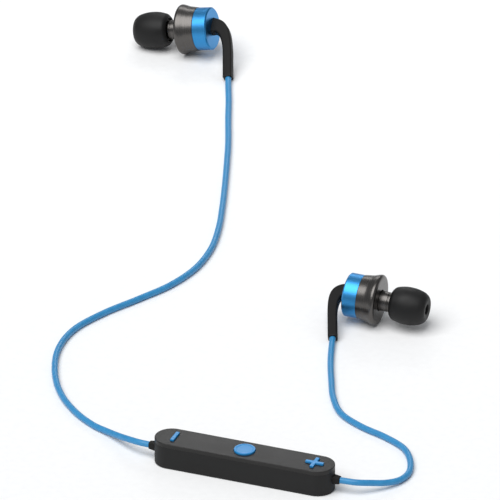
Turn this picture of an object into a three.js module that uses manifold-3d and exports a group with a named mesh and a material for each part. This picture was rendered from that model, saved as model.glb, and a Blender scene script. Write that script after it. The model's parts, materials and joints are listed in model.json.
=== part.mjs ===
// Wireless in-ear earphones on a thin neck cord, with a battery and button remote in the cord.
// Everything lies on one flat surface, as the set lies on a table. Millimetres, +Z up.
// The origin is the middle of the remote's base. The remote runs along X, its plus key at +X.
import * as THREE from 'three';
import { mergeVertices } from 'three/addons/utils/BufferGeometryUtils.js';
import Module from 'manifold-3d';

const wasm = await Module();
wasm.setup();

// ---- driving dimensions ----

// Remote: a prism with round ends.
const REMOTE_LENGTH = 60;
const REMOTE_WIDTH = 11;
const REMOTE_HEIGHT = 8.8;
const REMOTE_WALL = 0.9;
const REMOTE_EDGE = 0.35;
const REMOTE_INSIDE_CLEARANCE = 0.2;
const SEAM_Z = 7.5;
const SEAM_GAP = 0.1;
const KEY_SPACING = 23.5;
const KEY_TOP_Z = 9.35;
const KEY_CLEARANCE = 0.15;
const KEY_FLANGE_Z = 6.95;
const KEY_FLANGE_HEIGHT = 0.4;
const KEY_FOOT_Z = 6.75;
const KEY_FOOT_RADIUS = 0.8;
const PLAY_RADIUS = 3.4;
const PLAY_FLANGE_RADIUS = 3.85;
const MARK_LENGTH = 6.0;
const MINUS_LENGTH = 5.5;
const MARK_WIDTH = 1.25;
const MARK_FLANGE_RADIUS = 3.7;
const PLAY_CHAMFER = 0.2;

// Remote's inner pieces.
const BOARD_LENGTH = 52;
const BOARD_WIDTH = 8.4;
const BOARD_Z = 4.3;
const BOARD_THICKNESS = 0.8;
const BOARD_NOTCH_RADIUS = 0.8;
const SWITCH_SIDE = 3.6;
const SWITCH_BASE_HEIGHT = 0.9;
const SWITCH_TOP_Z = 6.4;
const SWITCH_PLUNGER_RADIUS = 0.9;
const FACE_GAP = 0.05;
const CASE_SEAL_WIDTH = 0.4;
const CASE_SEAL_HEIGHT = 0.45;
const BATTERY_SIZE = [26, 8.2, 2.9];
const BATTERY_X = -9;
const BATTERY_BASE_Z = 1.05;
const BATTERY_CHAMFER = 0.5;
const RADIO_SIZE = [5.4, 5.4, 1.1];
const RADIO_X = 23.4;
const MICROPHONE_SIZE = [3.5, 2.6, 1.0];
const MICROPHONE_X = 8;
const MICROPHONE_PORT_RADIUS = 0.5;

// Charging port in the remote's long back wall.
const PORT_X = 15.5;
const PORT_LENGTH = 9.8;
const PORT_HEIGHT = 3.8;
const PORT_CENTRE_Z = 2.9;
const SOCKET_SIZE = [7.6, 5.2, 2.4];
const SOCKET_MOUTH = [6.9, 4.4, 1.8];
const SOCKET_TONGUE = [5.2, 3.4, 0.6];
const SOCKET_OVERLAP = 0.1;
const SOCKET_BACK_Y = -0.7;
const COVER_THICKNESS = 0.8;
const COVER_CLEARANCE = 0.25;
const COVER_TAB = [0.8, 0.4, 2.0];

// Strain reliefs at the remote's ends.
const CORD_EXIT_Z = 4.4;
const RELIEF_LENGTH = 1.7;
const RELIEF_ROOT_RADIUS = 1.45;
const RELIEF_TIP_RADIUS = 1.25;
const RELIEF_NECK_RADIUS = 1.3;
const RELIEF_HOLE_RADIUS = 1.6;
const RELIEF_FLANGE_RADIUS = 1.9;
const RELIEF_FLANGE_LENGTH = 1.1;
const RELIEF_FLANGE_GAP = 0.8;
const RELIEF_OVERLAP = 0.3;

// Earphone, turned about its own axis. Heights run along that axis from the housing's
// front face, towards the ear as positive.
const RIM_RADIUS = 8.2;
const RIM_HEIGHT = -0.8;
const FACE_RADIUS = 7.2;
const HOUSING_REAR_RADIUS = 7.1;
const HOUSING_REAR = -6.3;
const CAP_RADIUS = 7.0;
const CAP_REAR = -11.1;
const CAP_CHAMFER = 0.4;
const SHELL_WALL = 0.9;
const TURNED_GAP = 0.3;
const NECK_RADIUS = 3.2;
const NECK_TOP = 4.1;
const NOZZLE_RADIUS = 2.2;
const NOZZLE_BARB_RADIUS = 2.5;
const NOZZLE_BORE_RADIUS = 1.4;
const NOZZLE_TOP = 9.0;
const FILTER_RADIUS = 1.9;
const FILTER_THICKNESS = 0.25;
const TIP_RADIUS = 6.0;
const TIP_REAR = 3.8;
const TIP_NOSE = 15.6;
const TIP_BORE_RADIUS = 1.65;
const TIP_CORE_RADIUS = 2.8;
const TIP_CORE_WALL = 0.7;
const TIP_SKIRT_WALL = 0.55;
const DRIVER_RADIUS = 5.4;
const MAGNET_RADIUS = 3.4;
const SEAL_RING = { inner: 5.6, outer: 5.85, bottom: -7.3, top: -5.6 };

// Rubber stem: it leaves the rear cap on the axis, bends, and ends in a straight leg. Its root is
// taller than its leg in the plane of the bend, and set a little away from the leg's side.
const STEM_WIDTH = 3.1;
const STEM_CORNER = 0.75;
const STEM_ROOT_HEIGHT = 5.9;
const STEM_ROOT_OFFSET = 0.7;
const STEM_TAPER_LENGTH = 12;
const STEM_TAPER_POWER = 2.2;
const STEM_PLUG_RADIUS = 1.5;
const STEM_CORNER_BACK = 5.3;
const STEM_STRAIGHT_ROOT = 0.9;
const STEM_BEND_LENGTH = 10.5;
const STEM_LEG_LENGTH = 19;
const STEM_END_Z = 1.55;
const STEM_STEPS = 20;

// How each earphone lies: where its housing's front face is, which way its axis points,
// how far the axis tilts up towards the ear, and the angle that the stem bends through.
const EARPHONES = {
  left: { x: -124.4, y: 261.7, yaw: 183, pitch: -11, stemBend: 80 },
  right: { x: 3.8, y: 109.4, yaw: 2, pitch: -2, stemBend: 109 },
};

// Cords. Each route is a list of points from the stem to the remote.
const CORD_RADIUS = 1.0;
const CORD_SIDES = 8;
const CORD_STEP = 4.9;
const CORD_ROUTES = {
  left: [
    [-102.0, 246.7, 1.4], [-100.5, 242.8, 1.12], [-96.8, 233.7, 1.05], [-91.6, 220.0, 1.05],
    [-86.0, 205.7, 1.05], [-80.9, 191.4, 1.05], [-76.0, 177.2, 1.05], [-71.2, 162.6, 1.05],
    [-67.0, 148.5, 1.05], [-64.2, 134.4, 1.05], [-64.1, 120.4, 1.05], [-67.4, 107.0, 1.05],
    [-73.5, 94.5, 1.05], [-80.3, 81.6, 1.05], [-84.9, 68.2, 1.05], [-84.8, 54.9, 1.05],
    [-80.5, 40.7, 1.05], [-73.3, 27.5, 1.05], [-64.2, 17.4, 1.05], [-55.7, 11.3, 1.05],
    [-49.1, 8.0, 1.5], [-44.2, 4.8, 2.6], [-39.8, 2.0, 3.75], [-35.6, 0.3, 4.35], [-32.05, 0, 4.4],
  ],
  right: [
    [-5.9, 91.9, 1.4], [-4.7, 88.2, 1.12], [-2.6, 81.9, 1.05], [0, 74.9, 1.05],
    [3.7, 66.0, 1.05], [8.0, 56.3, 1.05], [14.4, 46.8, 1.05], [23.3, 41.1, 1.05],
    [33.1, 37.2, 1.05], [41.1, 32.4, 1.05], [45.9, 25.4, 1.05], [48.2, 17.8, 1.1],
    [47.4, 12.2, 1.35], [44.6, 7.4, 2.2], [40.9, 3.7, 3.3], [37.2, 1.0, 4.1], [32.05, 0, 4.4],
  ],
};

const ROUND_SEGMENTS = 36;
const SMALL_SEGMENTS = 24;

// ---- materials ----

function finish(color, roughness, metalness) {
  return { color, roughness, metalness };
}

const FINISHES = {
  blackPlastic: finish(0x2e2e2e, 0.55, 0),
  blueKey: finish(0x4f97d6, 0.35, 0),
  blueCord: finish(0x58a6dc, 0.45, 0),
  blueMetal: finish(0x3f97dd, 0.3, 1),
  darkMetal: finish(0x5d5a57, 0.38, 1),
  blackRubber: finish(0x222222, 0.75, 0),
  silicone: finish(0x1f1f1f, 0.6, 0),
  steel: finish(0xb9bcc0, 0.35, 1),
  film: finish(0xc8b98c, 0.4, 0),
  board: finish(0x1d5a3a, 0.6, 0),
  foil: finish(0xc9ccd0, 0.4, 1),
};

function part(name, geometry, finishName) {
  const mesh = new THREE.Mesh(geometry, new THREE.MeshStandardMaterial(FINISHES[finishName]));
  mesh.name = name;
  return mesh;
}

// ---- solids and shapes ----

function toSolid(geometry) {
  const bare = geometry.clone();
  bare.deleteAttribute('normal');
  bare.deleteAttribute('uv');
  const merged = mergeVertices(bare, 1e-5);
  const vertProperties = new Float32Array(merged.attributes.position.array);
  const triVerts = new Uint32Array(merged.index.array);
  return new wasm.Manifold(new wasm.Mesh({ numProp: 3, vertProperties, triVerts }));
}

function fromSolid(solid) {
  const mesh = solid.getMesh();
  const geometry = new THREE.BufferGeometry();
  geometry.setAttribute('position', new THREE.BufferAttribute(new Float32Array(mesh.vertProperties), 3));
  geometry.setIndex(new THREE.BufferAttribute(new Uint32Array(mesh.triVerts), 1));
  geometry.computeVertexNormals();
  return geometry;
}

function join(...geometries) {
  return fromSolid(geometries.map(toSolid).reduce((whole, next) => whole.add(next)));
}

function cut(geometry, ...tools) {
  return fromSolid(tools.map(toSolid).reduce((whole, tool) => whole.subtract(tool), toSolid(geometry)));
}

function common(geometry, other) {
  return fromSolid(toSolid(geometry).intersect(toSolid(other)));
}

function box(size, centre) {
  return new THREE.BoxGeometry(...size).translate(...centre);
}

// A cylinder along Z between two heights.
function disc(radius, bottom, top, segments = SMALL_SEGMENTS) {
  const geometry = new THREE.CylinderGeometry(radius, radius, top - bottom, segments);
  return geometry.rotateX(Math.PI / 2).translate(0, 0, (bottom + top) / 2);
}

// A body turned about Z from [radius, height] points, listed with rising height on the outside.
function turned(points, segments = ROUND_SEGMENTS) {
  const profile = points.map(([radius, height]) => new THREE.Vector2(radius, height));
  return new THREE.LatheGeometry(profile, segments).rotateX(Math.PI / 2);
}

// A ring turned about Z: its section closes on itself.
function turnedRing(points, segments = ROUND_SEGMENTS) {
  return turned([...points, points[0]], segments);
}

// An outline with straight long sides and half-round ends, along X.
function stadium(length, width) {
  const radius = width / 2;
  const straight = length / 2 - radius;
  const shape = new THREE.Shape();
  shape.moveTo(-straight, -radius);
  shape.lineTo(straight, -radius);
  shape.absarc(straight, 0, radius, -Math.PI / 2, Math.PI / 2);
  shape.lineTo(-straight, radius);
  shape.absarc(-straight, 0, radius, Math.PI / 2, 1.5 * Math.PI);
  return shape;
}

function rise(shape, bottom, top) {
  const options = { depth: top - bottom, bevelEnabled: false, curveSegments: 10 };
  return new THREE.ExtrudeGeometry(shape, options).translate(0, 0, bottom);
}

// The same with every edge of the top and bottom faces cut back by a small chamfer.
function riseChamfered(shape, bottom, top, chamfer) {
  const options = {
    depth: top - bottom - 2 * chamfer,
    bevelThickness: chamfer,
    bevelSize: chamfer,
    bevelOffset: -chamfer,
    bevelSegments: 1,
    curveSegments: 10,
  };
  return new THREE.ExtrudeGeometry(shape, options).translate(0, 0, bottom + chamfer);
}

function bar(length, width) {
  const shape = new THREE.Shape();
  shape.moveTo(-length / 2, -width / 2);
  shape.lineTo(length / 2, -width / 2);
  shape.lineTo(length / 2, width / 2);
  shape.lineTo(-length / 2, width / 2);
  shape.closePath();
  return shape;
}

// The corners that one quarter of an outline has, repeated by quarter turns into all of them.
function fourQuarters(corners) {
  const centre = new THREE.Vector2();
  const points = [];
  for (let quarter = 0; quarter < 4; quarter += 1) {
    const angle = (quarter * Math.PI) / 2;
    corners.forEach(([x, y]) => points.push(new THREE.Vector2(x, y).rotateAround(centre, angle)));
  }
  return points;
}

function cross(length, width) {
  const far = length / 2;
  const near = width / 2;
  return new THREE.Shape(fourQuarters([[near, far], [-near, far], [-near, near]]));
}

// A closed skin over rings of points, all with the same count, with flat ends.
function skin(rings) {
  const count = rings[0].length;
  const last = (rings.length - 1) * count;
  const index = [];
  for (let row = 0; row < last; row += count) {
    for (let step = 0; step < count; step += 1) {
      const here = row + step;
      const after = row + ((step + 1) % count);
      index.push(here, after, after + count);
      index.push(here, after + count, here + count);
    }
  }
  for (let step = 1; step < count - 1; step += 1) {
    index.push(0, step + 1, step);
    index.push(last, last + step, last + step + 1);
  }
  const geometry = new THREE.BufferGeometry().setFromPoints(rings.flat());
  geometry.setIndex(index);
  return geometry;
}

// ---- remote ----

const REMOTE_STRAIGHT = REMOTE_LENGTH - REMOTE_WIDTH;
const INNER_WIDTH = REMOTE_WIDTH - 2 * REMOTE_WALL;
const INNER_LENGTH = REMOTE_STRAIGHT + INNER_WIDTH;
const COVER_BOTTOM_Z = SEAM_Z + SEAM_GAP;
const KEY_ROOT_Z = KEY_FLANGE_Z + KEY_FLANGE_HEIGHT / 2;

function remoteBlock(bottom, top) {
  const whole = riseChamfered(stadium(REMOTE_LENGTH, REMOTE_WIDTH), 0, REMOTE_HEIGHT, REMOTE_EDGE);
  const span = [2 * REMOTE_LENGTH, 2 * REMOTE_WIDTH, top - bottom];
  return common(whole, box(span, [0, 0, (bottom + top) / 2]));
}

function alongX(radius, from, to) {
  const geometry = new THREE.CylinderGeometry(radius, radius, to - from, SMALL_SEGMENTS);
  return geometry.rotateZ(Math.PI / 2).translate((from + to) / 2, 0, CORD_EXIT_Z);
}

function bottomShell() {
  const hollow = rise(stadium(INNER_LENGTH, INNER_WIDTH), REMOTE_WALL, REMOTE_HEIGHT);
  const cordHoles = alongX(RELIEF_HOLE_RADIUS, -REMOTE_LENGTH, REMOTE_LENGTH);
  const port = box([PORT_LENGTH, 2 * REMOTE_WALL, PORT_HEIGHT], [PORT_X, REMOTE_WIDTH / 2, PORT_CENTRE_Z]);
  const microphonePort = disc(MICROPHONE_PORT_RADIUS, -1, 2).translate(MICROPHONE_X, 0, 0);
  return cut(remoteBlock(0, SEAM_Z), hollow, cordHoles, port, microphonePort);
}

function topCover() {
  const tall = 2 * REMOTE_HEIGHT;
  const grown = 2 * KEY_CLEARANCE;
  const minusHole = rise(bar(MARK_WIDTH + grown, MINUS_LENGTH + grown), 0, tall);
  const plusHole = rise(cross(MARK_LENGTH + grown, MARK_WIDTH + grown), 0, tall);
  const playHole = disc(PLAY_RADIUS + KEY_CLEARANCE, 0, tall, ROUND_SEGMENTS);
  minusHole.translate(-KEY_SPACING, 0, 0);
  plusHole.translate(KEY_SPACING, 0, 0);
  return cut(remoteBlock(COVER_BOTTOM_Z, REMOTE_HEIGHT), minusHole, plusHole, playHole);
}

function caseSeal() {
  const length = INNER_LENGTH - REMOTE_INSIDE_CLEARANCE;
  const width = INNER_WIDTH - REMOTE_INSIDE_CLEARANCE;
  const top = COVER_BOTTOM_Z - FACE_GAP;
  const outer = stadium(length, width);
  outer.holes.push(stadium(length - 2 * CASE_SEAL_WIDTH, width - 2 * CASE_SEAL_WIDTH));
  return rise(outer, top - CASE_SEAL_HEIGHT, top);
}

// A key: the visible cap, a flange that keeps it under the cover, and a foot over its switch.
function key(cap, flangeRadius) {
  const flange = disc(flangeRadius, KEY_FLANGE_Z, KEY_FLANGE_Z + KEY_FLANGE_HEIGHT, ROUND_SEGMENTS);
  const foot = disc(KEY_FOOT_RADIUS, KEY_FOOT_Z, KEY_ROOT_Z);
  return join(cap, flange, foot);
}

function minusKey() {
  return key(rise(bar(MARK_WIDTH, MINUS_LENGTH), KEY_ROOT_Z, KEY_TOP_Z), MARK_FLANGE_RADIUS);
}

function plusKey() {
  return key(rise(cross(MARK_LENGTH, MARK_WIDTH), KEY_ROOT_Z, KEY_TOP_Z), MARK_FLANGE_RADIUS);
}

function playKey() {
  const cap = turned([
    [0, KEY_ROOT_Z],
    [PLAY_RADIUS, KEY_ROOT_Z],
    [PLAY_RADIUS, KEY_TOP_Z - PLAY_CHAMFER],
    [PLAY_RADIUS - PLAY_CHAMFER, KEY_TOP_Z],
    [0, KEY_TOP_Z],
  ]);
  return key(cap, PLAY_FLANGE_RADIUS);
}

function circuitBoard() {
  const radius = BOARD_WIDTH / 2;
  const notch = disc(BOARD_NOTCH_RADIUS, 0, REMOTE_HEIGHT);
  const notches = [-1, 1].map((side) => notch.clone().translate(-KEY_SPACING / 2, side * radius, 0));
  return cut(rise(stadium(BOARD_LENGTH, BOARD_WIDTH), BOARD_Z, BOARD_Z + BOARD_THICKNESS), ...notches);
}

function tactileSwitch() {
  const bottom = BOARD_Z + BOARD_THICKNESS + FACE_GAP;
  const base = box([SWITCH_SIDE, SWITCH_SIDE, SWITCH_BASE_HEIGHT], [0, 0, bottom + SWITCH_BASE_HEIGHT / 2]);
  return join(base, disc(SWITCH_PLUNGER_RADIUS, bottom + SWITCH_BASE_HEIGHT / 2, SWITCH_TOP_Z));
}

function batteryCell() {
  const [length, width, height] = BATTERY_SIZE;
  const cell = riseChamfered(bar(length, width), 0, height, BATTERY_CHAMFER);
  return cell.translate(BATTERY_X, 0, BATTERY_BASE_Z);
}

// A chip soldered to the board's underside.
function underBoard(size, x) {
  return box(size, [x, 0, BOARD_Z - FACE_GAP - size[2] / 2]);
}

function chargeSocket() {
  const [length, depth, height] = SOCKET_SIZE;
  const middleZ = BOARD_Z - FACE_GAP - height / 2;
  const front = SOCKET_BACK_Y + depth;
  const shell = box(SOCKET_SIZE, [PORT_X, SOCKET_BACK_Y + depth / 2, middleZ]);
  const mouthBack = front - SOCKET_MOUTH[1];
  const mouth = box(SOCKET_MOUTH, [PORT_X, (mouthBack + front) / 2, middleZ]);
  const tongueY = mouthBack - SOCKET_OVERLAP + SOCKET_TONGUE[1] / 2;
  const throughFront = mouth.clone().translate(0, SOCKET_OVERLAP, 0);
  return join(cut(shell, mouth, throughFront), box(SOCKET_TONGUE, [PORT_X, tongueY, middleZ]));
}

// The soft cover fills the port. Its hinge line is the port's edge nearest the remote's middle.
function portCover() {
  const length = PORT_LENGTH - 2 * COVER_CLEARANCE;
  const height = PORT_HEIGHT - 2 * COVER_CLEARANCE;
  const face = REMOTE_WIDTH / 2;
  const plate = box([length, COVER_THICKNESS, height], [PORT_X, face - COVER_THICKNESS / 2, PORT_CENTRE_Z]);
  const tabX = PORT_X + length / 2 - COVER_TAB[0];
  return join(plate, box([COVER_TAB[0], 2 * COVER_TAB[1], COVER_TAB[2]], [tabX, face, PORT_CENTRE_Z]));
}

// The strain relief at the +X end; the other end's is the same piece turned round.
function strainRelief() {
  const wallFace = REMOTE_LENGTH / 2;
  const innerFace = wallFace - REMOTE_WALL - RELIEF_FLANGE_GAP;
  const taper = new THREE.CylinderGeometry(RELIEF_TIP_RADIUS, RELIEF_ROOT_RADIUS, RELIEF_LENGTH, 12);
  taper.rotateZ(-Math.PI / 2).translate(wallFace + FACE_GAP + RELIEF_LENGTH / 2, 0, CORD_EXIT_Z);
  const neck = alongX(RELIEF_NECK_RADIUS, innerFace - RELIEF_OVERLAP, wallFace + RELIEF_OVERLAP);
  const flange = alongX(RELIEF_FLANGE_RADIUS, innerFace - RELIEF_FLANGE_LENGTH, innerFace);
  return join(taper, neck, flange);
}

function buildRemote() {
  const remote = new THREE.Group();
  remote.add(
    part('bottom_shell', bottomShell(), 'blackPlastic'),
    part('top_cover', topCover(), 'blackPlastic'),
    part('case_seal', caseSeal(), 'silicone'),
    part('circuit_board', circuitBoard(), 'board'),
    part('battery_cell', batteryCell(), 'foil'),
    part('radio_module', underBoard(RADIO_SIZE, RADIO_X), 'steel'),
    part('microphone', underBoard(MICROPHONE_SIZE, MICROPHONE_X), 'steel'),
    part('charge_socket', chargeSocket(), 'steel'),
    part('charge_port_cover', portCover(), 'blackRubber'),
    part('strain_relief_right', strainRelief(), 'blackRubber'),
    part('strain_relief_left', strainRelief().rotateZ(Math.PI), 'blackRubber'),
  );
  const keys = { minus: [minusKey(), -KEY_SPACING], play: [playKey(), 0], plus: [plusKey(), KEY_SPACING] };
  for (const [name, [geometry, x]] of Object.entries(keys)) {
    const button = part(`${name}_button`, geometry, 'blueKey');
    const tactile = part(`${name}_switch`, tactileSwitch(), 'steel');
    button.position.x = x;
    tactile.position.x = x;
    remote.add(button, tactile);
  }
  return remote;
}

// ---- earphone ----

function frontHousing() {
  const inner = HOUSING_REAR_RADIUS - SHELL_WALL;
  return turnedRing([
    [inner, HOUSING_REAR],
    [HOUSING_REAR_RADIUS, HOUSING_REAR],
    [RIM_RADIUS, RIM_HEIGHT - 0.3],
    [RIM_RADIUS, RIM_HEIGHT + 0.1],
    [RIM_RADIUS - 0.35, -0.2],
    [FACE_RADIUS, 0],
    [NECK_RADIUS + TURNED_GAP, 0],
    [NECK_RADIUS + TURNED_GAP, -SHELL_WALL],
    [inner, -SHELL_WALL - 0.3],
  ]);
}

// Neck and nozzle are one turned tube, with a flange inside the housing and a barb for the tip.
function nozzle() {
  return turnedRing([
    [NOZZLE_BORE_RADIUS, -2.2],
    [5.6, -2.2],
    [5.6, -1.6],
    [NECK_RADIUS, -1.5],
    [NECK_RADIUS, NECK_TOP - 0.3],
    [NECK_RADIUS - 0.3, NECK_TOP],
    [NOZZLE_RADIUS, NECK_TOP],
    [NOZZLE_RADIUS, NOZZLE_TOP - 1.6],
    [NOZZLE_BARB_RADIUS, NOZZLE_TOP - 1.2],
    [NOZZLE_RADIUS, NOZZLE_TOP],
    [NOZZLE_BORE_RADIUS, NOZZLE_TOP],
  ], SMALL_SEGMENTS);
}

function nozzleFilter() {
  const bottom = NOZZLE_TOP + FACE_GAP;
  return disc(FILTER_RADIUS, bottom, bottom + FILTER_THICKNESS);
}

// The tip is one silicone moulding: a core that grips the nozzle, and a skirt folded back over it.
function earTip() {
  const coreOuter = TIP_CORE_RADIUS + TIP_CORE_WALL;
  const skirt = TIP_SKIRT_WALL;
  return turnedRing([
    [TIP_BORE_RADIUS, 10.2],
    [TIP_CORE_RADIUS, 9.7],
    [TIP_CORE_RADIUS, NECK_TOP + 0.3],
    [coreOuter, NECK_TOP + 0.3],
    [coreOuter, 12.0],
    [4.6 - skirt / 2, 12.9],
    [5.6 - skirt, 10.6],
    [TIP_RADIUS - skirt, 8.4],
    [5.6 - skirt, 5.6],
    [4.4, 4.2],
    [4.7, TIP_REAR],
    [5.7, 5.3],
    [TIP_RADIUS, 8.4],
    [5.75, 11.2],
    [4.95, 14.0],
    [3.9, 15.3],
    [2.8, TIP_NOSE],
    [TIP_BORE_RADIUS, TIP_NOSE - 0.15],
  ], 30);
}

function driverBasket() {
  return turnedRing([
    [MAGNET_RADIUS + TURNED_GAP, -7.6],
    [DRIVER_RADIUS - 0.6, -7.6],
    [DRIVER_RADIUS, -5.2],
    [DRIVER_RADIUS, -3.7],
    [DRIVER_RADIUS - 0.5, -3.7],
    [MAGNET_RADIUS + TURNED_GAP, -6.4],
  ], SMALL_SEGMENTS);
}

function driverMagnet() {
  return disc(MAGNET_RADIUS, -8.8, -5.9);
}

function driverDiaphragm() {
  const edge = DRIVER_RADIUS - 0.1;
  const behind = [[0, -3.0], [2.2, -3.2], [edge, -3.4]];
  const front = [[edge, -3.25], [2.3, -3.0], [0, -2.75]];
  return turned([...behind, ...front], SMALL_SEGMENTS);
}

// The seal bridges the seam between the front housing and the rear cap, inside both.
function sealRing() {
  const { inner, outer, bottom, top } = SEAL_RING;
  return turnedRing([[inner, bottom], [outer, bottom], [outer, top], [inner, top]], SMALL_SEGMENTS);
}

function rearCap() {
  const inner = CAP_RADIUS - SHELL_WALL;
  const hole = STEM_PLUG_RADIUS + TURNED_GAP;
  return turnedRing([
    [hole, CAP_REAR],
    [CAP_RADIUS - CAP_CHAMFER, CAP_REAR],
    [CAP_RADIUS, CAP_REAR + CAP_CHAMFER],
    [CAP_RADIUS, HOUSING_REAR - TURNED_GAP],
    [inner, HOUSING_REAR - TURNED_GAP],
    [inner, CAP_REAR + SHELL_WALL],
    [hole, CAP_REAR + SHELL_WALL],
  ]);
}

// The leg leaves the axis at a corner point behind the cap, towards local +Y.
function stemLine(bend) {
  const corner = new THREE.Vector3(0, 0, CAP_REAR - STEM_CORNER_BACK);
  const leg = new THREE.Vector3(0, Math.sin(bend), -Math.cos(bend));
  return { corner, leg };
}

function stemPath(bend) {
  const { corner, leg } = stemLine(bend);
  const root = new THREE.Vector3(0, 0, CAP_REAR - TURNED_GAP);
  const bendStart = new THREE.Vector3(0, 0, CAP_REAR - STEM_STRAIGHT_ROOT);
  const bendEnd = corner.clone().addScaledVector(leg, STEM_BEND_LENGTH);
  const end = corner.clone().addScaledVector(leg, STEM_LEG_LENGTH);
  const path = new THREE.CurvePath();
  path.add(new THREE.LineCurve3(root, bendStart));
  path.add(new THREE.QuadraticBezierCurve3(bendStart, corner, bendEnd));
  path.add(new THREE.LineCurve3(bendEnd, end));
  return path;
}

// One square section of the stem with cut corners, by its share of the way along the path.
function stemRing(path, share) {
  const centre = path.getPointAt(share);
  const across = new THREE.Vector3(1, 0, 0);
  const outward = new THREE.Vector3().crossVectors(path.getTangentAt(share), across);
  const taperShare = Math.min(1, (share * path.getLength()) / STEM_TAPER_LENGTH);
  const fade = (1 - taperShare) ** STEM_TAPER_POWER;
  centre.y -= STEM_ROOT_OFFSET * fade;
  const stretch = THREE.MathUtils.lerp(1, STEM_ROOT_HEIGHT / STEM_WIDTH, fade);
  const half = STEM_WIDTH / 2;
  const corners = fourQuarters([[half, half - STEM_CORNER], [half - STEM_CORNER, half]]);
  const place = ({ x, y }) => centre.clone().addScaledVector(across, x).addScaledVector(outward, y * stretch);
  return corners.map(place);
}

function stem(bend) {
  const path = stemPath(bend);
  const rings = [];
  for (let step = 0; step <= STEM_STEPS; step += 1) {
    rings.push(stemRing(path, step / STEM_STEPS));
  }
  const plug = disc(STEM_PLUG_RADIUS, CAP_REAR - STEM_STRAIGHT_ROOT, CAP_REAR + 2 * SHELL_WALL - TURNED_GAP);
  return join(skin(rings), plug);
}

// Turns an earphone about its axis so that its stem's end comes down to the surface.
function stemRoll(pitch, bend, originZ) {
  const { corner, leg } = stemLine(bend);
  const levelEndZ = originZ + Math.sin(pitch) * (corner.z + leg.z * STEM_LEG_LENGTH);
  return Math.asin((levelEndZ - STEM_END_Z) / (leg.y * STEM_LEG_LENGTH * Math.cos(pitch)));
}

function buildEarphone(side) {
  const { x, y, yaw, pitch, stemBend } = EARPHONES[side];
  const yawAngle = THREE.MathUtils.degToRad(yaw);
  const pitchAngle = THREE.MathUtils.degToRad(pitch);
  const bend = THREE.MathUtils.degToRad(stemBend);
  const z = RIM_RADIUS * Math.cos(pitchAngle) - Math.sin(pitchAngle) * (RIM_HEIGHT + 0.1);
  const axis = new THREE.Vector3(
    Math.cos(yawAngle) * Math.cos(pitchAngle),
    Math.sin(yawAngle) * Math.cos(pitchAngle),
    Math.sin(pitchAngle),
  );
  const level = new THREE.Vector3().crossVectors(axis, new THREE.Vector3(0, 0, 1)).normalize();
  const towardsFront = level.y < 0 ? level : level.negate();
  const up = new THREE.Vector3(0, 0, 1).addScaledVector(axis, -axis.z).normalize();
  const roll = stemRoll(pitchAngle, bend, z);
  const legSide = towardsFront.clone().multiplyScalar(Math.cos(roll)).addScaledVector(up, -Math.sin(roll));
  const third = new THREE.Vector3().crossVectors(legSide, axis);

  const earphone = new THREE.Group();
  earphone.add(
    part(`${side}_ear_tip`, earTip(), 'silicone'),
    part(`${side}_nozzle`, nozzle(), 'darkMetal'),
    part(`${side}_nozzle_filter`, nozzleFilter(), 'steel'),
    part(`${side}_front_housing`, frontHousing(), 'darkMetal'),
    part(`${side}_driver_diaphragm`, driverDiaphragm(), 'film'),
    part(`${side}_driver_basket`, driverBasket(), 'blackPlastic'),
    part(`${side}_driver_magnet`, driverMagnet(), 'steel'),
    part(`${side}_seal_ring`, sealRing(), 'silicone'),
    part(`${side}_rear_cap`, rearCap(), 'blueMetal'),
    part(`${side}_stem`, stem(bend), 'blackRubber'),
  );
  earphone.quaternion.setFromRotationMatrix(new THREE.Matrix4().makeBasis(third, legSide, axis));
  earphone.position.set(x, y, z);
  return earphone;
}

// ---- cords ----

function cable(side) {
  const route = new THREE.CatmullRomCurve3(CORD_ROUTES[side].map((point) => new THREE.Vector3(...point)));
  route.arcLengthDivisions = 1000;
  const section = new THREE.Shape();
  for (let corner = 0; corner < CORD_SIDES; corner += 1) {
    const angle = (2 * Math.PI * corner) / CORD_SIDES;
    const place = [CORD_RADIUS * Math.cos(angle), CORD_RADIUS * Math.sin(angle)];
    if (corner === 0) section.moveTo(...place);
    else section.lineTo(...place);
  }
  const steps = Math.round(route.getLength() / CORD_STEP);
  const tube = new THREE.ExtrudeGeometry(section, { steps, extrudePath: route });
  return part(`${side}_cable`, tube, 'blueCord');
}

const earphones = new THREE.Group();
earphones.add(buildRemote());
for (const side of Object.keys(EARPHONES)) {
  earphones.add(buildEarphone(side), cable(side));
}

export default earphones;
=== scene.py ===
"""The looks of a set of corded wireless earphones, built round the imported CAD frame.

Lengths in the named values are millimetres; MM turns them into Blender's metres. Each earphone is
made in its own frame: Z along its axis from the housing's front face towards the ear, and Y towards
the stem's leg.
"""

import json
import math

import bmesh
import bpy
from mathutils import Matrix, Vector


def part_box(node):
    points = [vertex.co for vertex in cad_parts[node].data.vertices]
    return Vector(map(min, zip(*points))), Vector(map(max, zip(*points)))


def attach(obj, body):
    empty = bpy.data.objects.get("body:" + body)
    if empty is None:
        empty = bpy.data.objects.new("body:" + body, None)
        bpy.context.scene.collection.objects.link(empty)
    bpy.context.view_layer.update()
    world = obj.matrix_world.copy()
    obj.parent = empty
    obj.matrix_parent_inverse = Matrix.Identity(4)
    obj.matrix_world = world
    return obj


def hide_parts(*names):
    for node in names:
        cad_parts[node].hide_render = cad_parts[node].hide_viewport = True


MM = 0.001

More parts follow.
